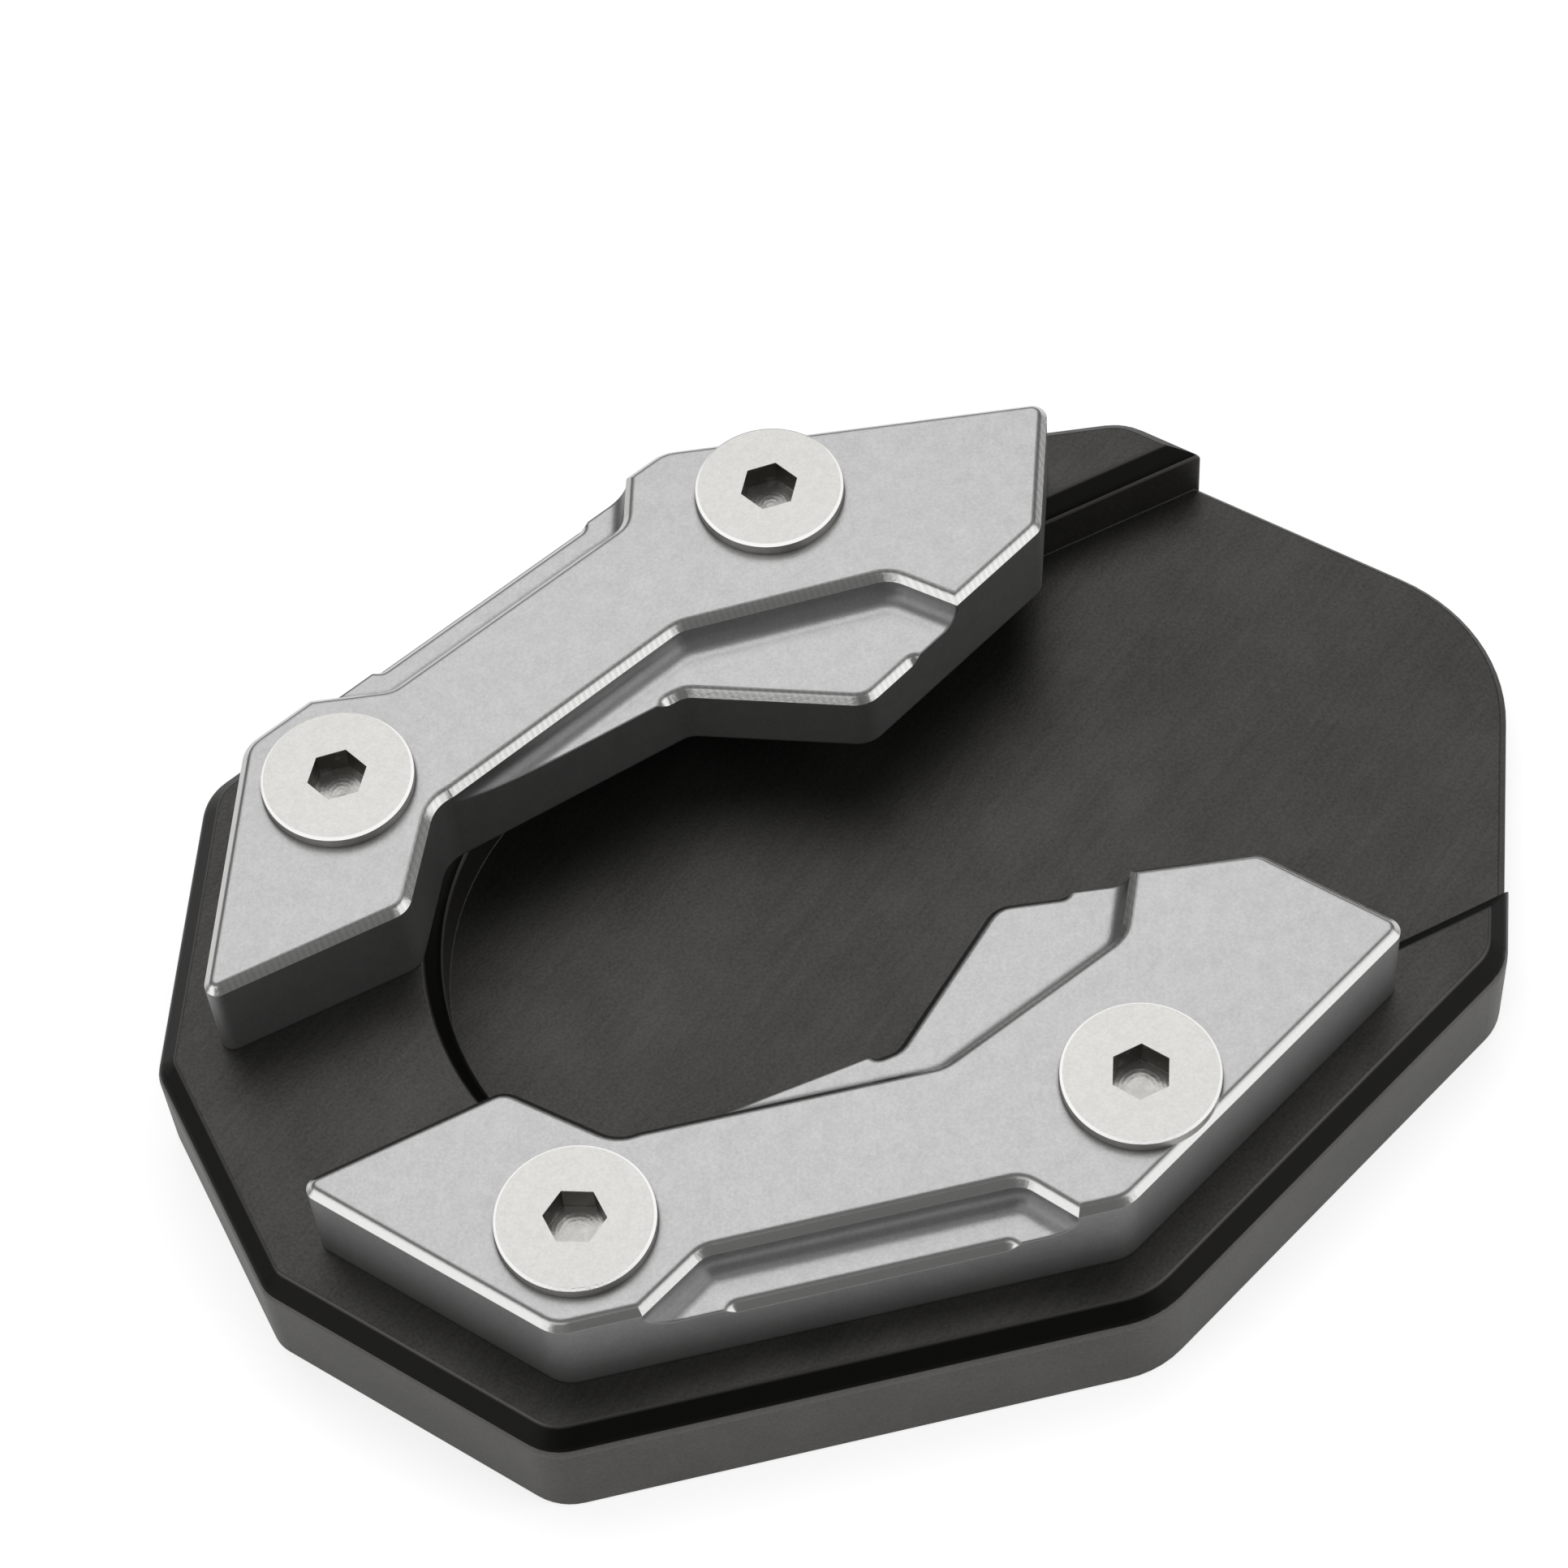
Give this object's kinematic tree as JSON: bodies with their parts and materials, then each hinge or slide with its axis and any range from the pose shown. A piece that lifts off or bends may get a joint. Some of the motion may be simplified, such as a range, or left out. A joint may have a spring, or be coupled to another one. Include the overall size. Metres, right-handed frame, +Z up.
{
  "type": "kickstand foot enlarger",
  "caption": "Widened foot for a motorcycle side stand: a chamfered base plate with a foot pocket open at the heel, and two mirrored screwed clamps that reach over the stand's foot.",
  "frame": {"origin": "centre of the bounding box's bottom face, on the base plate's underside", "axes": "+X from the narrow toe edge to the open heel, +Y towards the left clamp, +Z up from the ground to the screw heads"},
  "size_m": [0.1092, 0.085, 0.0199],
  "materials": {
    "black_anodised": "matte black anodised over a fine blasted surface",
    "silver_anodised": "satin silver anodised over a blasted surface, with brighter milled edges",
    "screw_steel": "bright turned stainless steel"
  },
  "bodies": {
    "root": {"base_plate": "black_anodised", "clamp_left": "silver_anodised", "clamp_right": "silver_anodised", "screw_toe_left": "screw_steel", "screw_toe_right": "screw_steel", "screw_heel_left": "screw_steel", "screw_heel_right": "screw_steel"}
  },
  "joints": []
}
